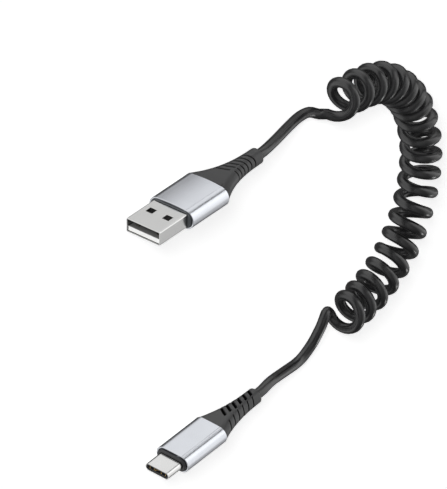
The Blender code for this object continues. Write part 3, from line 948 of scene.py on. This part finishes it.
class CABLE_OT_collars(bpy.types.Operator):
    """Makes the moulded collar between each shell and its sleeve"""

    bl_idname = "cable.collars"
    bl_label = "Collars"

    def execute(self, context):
        colours = context.scene.cable_finishes
        gap = context.scene.cable_cord.seat_gap
        wall = context.scene.cable_cord.sleeve_wall
        for plug in PLUG_PLACES:
            own = sizes(plug)
            inset = wall + gap
            start = own.shell_exposed
            end = start + own.collar_proud + own.sleeve_length
            collar = round_bar(
                plug + "_collar", start, end, own.sleeve_width - 2 * inset, own.sleeve_thick - 2 * inset,
                own.sleeve_corner - inset,
            )
            with Edit(collar, "EDGE") as edit:
                edit.choose(lambda edge: all(abs(v.co.x - start) < CLOSE for v in edge.verts))
                bpy.ops.mesh.bevel(offset=COLLAR_EDGE, segments=5, affect="EDGES")
            pocket = round_bar(
                "pocket", start - own.shell_root, start + own.shell_root + gap,
                own.shell_width + 2 * gap, own.shell_thick + 2 * gap, own.shell_corner + gap,
            )
            cut(collar, [pocket])
            if plug == "usb_a":
                material = plastic_finish("collar_grey", colours.collar, 0.45, 3000, 0.00002, 1.10)
            else:
                material = plastic_finish("collar_black", colours.mould, 0.38, 3000, 0.00002, 1.10)
            finish_piece(collar, material, [plug + "_inner_mould"], plug_place(plug))
        return {"FINISHED"}


class CABLE_OT_sleeves(bpy.types.Operator):
    """Makes both metal sleeves"""

    bl_idname = "cable.sleeves"
    bl_label = "Sleeves"

    def execute(self, context):
        colours = context.scene.cable_finishes
        wall = context.scene.cable_cord.sleeve_wall
        for plug in PLUG_PLACES:
            own = sizes(plug)
            start = own.shell_exposed + own.collar_proud
            ring = self.crowned(own)
            end = start + own.sleeve_length
            rings = [[(x, y, z) for y, z in ring] for x in (start, end)]
            sleeve = draw_out(plug + "_sleeve_dressed", rings)
            hollow(sleeve, wall)
            soften(sleeve, SLEEVE_EDGE, 3, SLEEVE_EDGE_ANGLE)
            metal = metal_finish(plug + "_aluminium", colours.aluminium, plug, 0.24, 0.9, 0.8)
            finish_piece(sleeve, metal, [plug + "_sleeve"], plug_place(plug))
        return {"FINISHED"}

    def crowned(self, own):
        """The sleeve's outline, its wide faces a little higher in the middle."""
        half = own.sleeve_width / 2 - own.sleeve_corner
        points = []
        for y, z in outline(own.sleeve_width, own.sleeve_thick, own.sleeve_corner):
            drop = own.sleeve_crown * min(1.0, abs(z) / half) ** 2
            points.append((y - math.copysign(drop, y) * min(1.0, abs(y) / (own.sleeve_thick / 4)), z))
        return points


class CABLE_OT_reliefs(bpy.types.Operator):
    """Makes both strain reliefs, with their slots and grooves"""

    bl_idname = "cable.reliefs"
    bl_label = "Strain reliefs"

    def execute(self, context):
        colours = context.scene.cable_finishes
        # the slots colour is painted shade for the slots and grooves
        rubber = plastic_finish(
            "relief_rubber", colours.relief, 0.40, 4200, 0.00004, 1.12, colours.slots,
        )
        for plug in PLUG_PLACES:
            rings, recess_shades = self.stations(plug)
            relief = draw_out(plug + "_relief", rings)
            # a per-point attribute that tells the finish where to paint shade
            depth = relief.data.attributes.new("depth", "FLOAT", "POINT")
            recess_shades += [0.0] * (len(relief.data.vertices) - len(recess_shades))
            depth.data.foreach_set("value", recess_shades)
            nodes = [plug + "_strain_relief"]
            finish_piece(relief, rubber, nodes, plug_place(plug), 30, False)
        return {"FINISHED"}

    def section(self, plug, share):
        """Width, thickness and corner at a share of the length."""
        own = sizes(plug)
        left = (1 - share) ** RELIEF_FLARE[plug]
        end = own.relief_end
        width = end + (own.sleeve_width - 2 * RELIEF_INSET - end) * left
        thick = end + (own.sleeve_thick - 2 * RELIEF_INSET - end) * left
        round_end = END_CORNER * end
        return width, thick, round_end + (own.sleeve_corner - RELIEF_INSET - round_end) * left

    def step(self, reach, half, edge):
        """One inside a half width, nothing outside it, and a smooth edge between."""
        share = max(0.0, min(1.0, (half + edge / 2 - abs(reach)) / edge))
        return share * share * (3 - 2 * share)

    def spots(self, plug, slots):
        """Distances along the relief of its rings, close together at each slot's edges."""
        own = sizes(plug)
        spots = {own.relief_length * step / RELIEF_RINGS for step in range(RELIEF_RINGS + 1)}
        for middle in slots:
            for half in (own.slot_length / 2, SIDE_GROOVE_LENGTH / 2):
                for part in EDGE_RINGS:
                    spots |= {middle - half - part, middle + half + part}
        kept = [0.0]
        for spot in sorted(spots):
            if spot - kept[-1] > CLOSEST_RINGS and spot < own.relief_length - END_ROUND:
                kept.append(spot)
        return kept

    def stations(self, plug):
        """Rings of points along the relief, slots and grooves pressed in, and how much painted shade
        each point gets.
        """
        own = sizes(plug)
        start = own.shell_exposed + own.collar_proud + own.sleeve_length
        start += bpy.context.scene.cable_cord.seat_gap
        length = own.relief_length
        last = length - own.end_collar
        slots = [last - own.slot_pitch * number for number in range(SLOT_COUNT)]
        rings, recess_shades = [], []
        turns = outline_turns()
        for spot in self.spots(plug, slots):
            near = min(slots, key=lambda middle: abs(middle - spot))
            slot = self.step(spot - near, own.slot_length / 2, SLOT_EDGE)
            groove = self.step(spot - near, SIDE_GROOVE_LENGTH / 2, SLOT_EDGE)
            begun = spot / (slots[-1] - own.slot_length)
            left = (length - END_ROUND - spot) / (length - END_ROUND - last - own.slot_length)
            slant = own.slot_slant * min(1.0, begun, left)
            ring, depth = [], []
            for number, (_, across) in enumerate(outline(*self.section(plug, spot / length))):
                x = min(length, max(0.0, spot + slant * across))
                width, thick, corner = self.section(plug, x / length)
                y, z = outline(width, thick, corner)[number]
                reach = z + (own.slot_far - own.slot_near) / 2
                pressed = slot * self.step(reach, (own.slot_far + own.slot_near) / 2, SPAN_EDGE)
                y = math.copysign(min(abs(y), thick / 2 - own.slot_depth * pressed), y)
                slope = abs(math.sin(turns[number]))
                cut_in = groove * max(0.0, min(1.0, (slope - GROOVE_SLOPE) / GROOVE_BLEND))
                cut_in *= 1 - pressed
                _, inner_y, inner_z = self.shrunk(x, width, thick, corner, SIDE_GROOVE_DEPTH)[number]
                y += (inner_y - y) * cut_in
                z += (inner_z - z) * cut_in
                # the side grooves get painted shade too
                pressed = max(pressed, GROOVE_PAINTED_SHADE * cut_in)
                ring.append((start + x, y, z))
                depth.append(pressed)
            rings.append(ring)
            recess_shades += depth
        width, thick, corner = self.section(plug, 1.0)
        for step in range(1, END_STEPS + 1):
            angle = math.pi / 2 * step / END_STEPS
            ahead = length - END_ROUND * (1 - math.sin(angle))
            inset = END_ROUND * (1 - math.cos(angle))
            rings.append(self.shrunk(start + ahead, width, thick, corner, inset))
        for wider, back in HOLE:
            inset = (own.relief_end - bpy.context.scene.cable_cord.diameter - wider) / 2
            rings.append(self.shrunk(start + length - back, width, thick, corner, inset))
        return rings, recess_shades

    def shrunk(self, x, width, thick, corner, inset):
        """A ring across the plug, drawn in all round."""
        return [(x, y, z) for y, z in outline(width - 2 * inset, thick - 2 * inset, corner - inset)]


# ---------------------------------------------------------------- the studio


class CABLE_OT_stage(bpy.types.Operator):
    """Sets up the floor, the soft light and the camera"""

    bl_idname = "cable.stage"
    bl_label = "Studio"

    def execute(self, context):
        self.add_camera(context)
        self.add_floor(context)
        self.add_light(context)
        context.scene.view_settings.view_transform = "Standard"
        return {"FINISHED"}

    def add_camera(self, context):
        own = context.scene.cable_studio
        data = bpy.data.cameras.new("camera")
        data.lens = own.lens
        camera = bpy.data.objects.new("camera", data)
        context.scene.collection.objects.link(camera)
        right = Vector((math.sin(own.swing), 0, math.cos(own.swing)))
        up = Vector((
            math.cos(own.swing) * math.sin(own.tilt), math.cos(own.tilt),
            -math.sin(own.swing) * math.sin(own.tilt),
        ))
        back = right.cross(up)
        distance = own.lens * PICTURE_HEIGHT / (data.sensor_width * own.scale) * MM
        turned = Matrix((right, up, back)).transposed().to_4x4()
        camera.matrix_world = Matrix.Translation(VIEW_CENTRE + back * distance) @ turned
        data.clip_start, data.clip_end = CLIP
        context.scene.camera = camera

    def add_floor(self, context):
        deselect()
        bpy.ops.mesh.primitive_circle_add(vertices=96, radius=FLOOR_RADIUS, fill_type="NGON")
        floor = context.object
        floor.name = "floor"
        finish = new_finish("floor_paper")
        colour = context.scene.cable_finishes.floor
        fine = finish.noise(finish.place(), 300, 2.0, 0.5)
        finish.surface({
            "Base Color": finish.mix(fine, rgba(colour, 0.995), rgba(colour, 1.005)),
            "Roughness": 0.9,
            "Specular IOR Level": 0.0,
            "Emission Color": rgba(colour),
            "Emission Strength": context.scene.cable_studio.table,
        })
        floor.data.materials.append(finish.owner)
        floor.visible_glossy = False

    def add_light(self, context):
        """A room for the pieces to mirror, and three far lights."""
        own = context.scene.cable_studio
        world = bpy.data.worlds.new("studio")
        context.scene.world = world
        room = Finish(world)
        way = room.node("ShaderNodeTexCoord")
        x, y, z = room.split(way)
        walls = room.node("ShaderNodeValToRGB", {"stops": WALL_TONES}, {"Fac": z.at_least(y * -1.5)})
        side = (y * 0.8 + 1.0).at_least(0.25).at_most(1.0)
        front = (x * 2.5 + 0.2).at_least(0.3).at_most(1.0)
        below = (y * 4.0 - 1.2).at_least(0.12).at_most(1.30)
        ahead = (x * -6.0 - 2.1).at_least(0.0).at_most(1.2)
        below = below.at_least(ahead)
        above = (z * 40.0).at_least(0.0).at_most(1.0)
        strength = side * front * above * own.sky + below * (1.0 - above)
        background = world.node_tree.nodes["Background"]
        room.feed(background.inputs["Color"], room.mix(above, (1, 1, 1, 1), walls))
        room.feed(background.inputs["Strength"], strength)
        world.cycles_visibility.diffuse = False
        key = self.add_sun(context, "key", own.key, KEY_ANGLE, KEY_WAY)
        key.visible_glossy = False
        fill = self.add_sun(context, "fill", own.fill, FILL_ANGLE, FILL_WAY)
        fill.data.use_shadow = False
        fill.visible_glossy = False
        rim = self.add_sun(context, "rim", own.rim, RIM_ANGLE, RIM_WAY)
        rim.visible_diffuse = False

    def add_sun(self, context, name, strength, angle, way):
        """A far light from one way; its angle sets how soft its shadows are."""
        light = bpy.data.lights.new(name, "SUN")
        light.energy = strength
        light.angle = math.radians(angle)
        lamp = bpy.data.objects.new(name, light)
        lamp.matrix_world = Vector(way).to_track_quat("Z", "Y").to_matrix().to_4x4()
        context.scene.collection.objects.link(lamp)
        return lamp


STEPS = (
    ("cable.stage", "Studio"),
    ("cable.cord", "Cord"),
    ("cable.shells", "Plug shells"),
    ("cable.insulators", "Insulators and contacts"),
    ("cable.collars", "Collars"),
    ("cable.sleeves", "Sleeves"),
    ("cable.reliefs", "Strain reliefs"),
)


class CABLE_PT_panel(bpy.types.Panel):
    """Lists the sizes, the colours and the steps"""

    bl_idname = "CABLE_PT_panel"
    bl_label = "Coiled cable"
    bl_space_type = "VIEW_3D"
    bl_region_type = "UI"
    bl_category = "Cable"

    def draw(self, context):
        for name in GROUPS:
            own = getattr(context.scene, name)
            box = self.layout.box()
            box.label(text=own.__doc__ or name)
            for key in own.__annotations__:
                box.prop(own, key)
        for step, label in STEPS:
            self.layout.operator(step, text=label)


GROUPS = {
    "cable_usb_a": CableUsbASizes,
    "cable_usb_c": CableUsbCSizes,
    "cable_cord": CableCordSizes,
    "cable_finishes": CableFinishes,
    "cable_studio": CableStudio,
}
OPERATORS = (
    CABLE_OT_stage, CABLE_OT_cord, CABLE_OT_shells, CABLE_OT_insulators, CABLE_OT_collars,
    CABLE_OT_sleeves, CABLE_OT_reliefs, CABLE_PT_panel,
)


def register():
    for name, group in GROUPS.items():
        bpy.utils.register_class(group)
        setattr(bpy.types.Scene, name, bpy.props.PointerProperty(type=group))
    for made in OPERATORS:
        bpy.utils.register_class(made)


def unregister():
    for made in reversed(OPERATORS):
        bpy.utils.unregister_class(made)
    for name, group in GROUPS.items():
        delattr(bpy.types.Scene, name)
        bpy.utils.unregister_class(group)


def main():
    register()
    bpy.ops.cable.stage()
    bpy.ops.cable.cord()
    bpy.ops.cable.shells()
    bpy.ops.cable.insulators()
    bpy.ops.cable.collars()
    bpy.ops.cable.sleeves()
    bpy.ops.cable.reliefs()


if __name__ == "__main__":
    main()
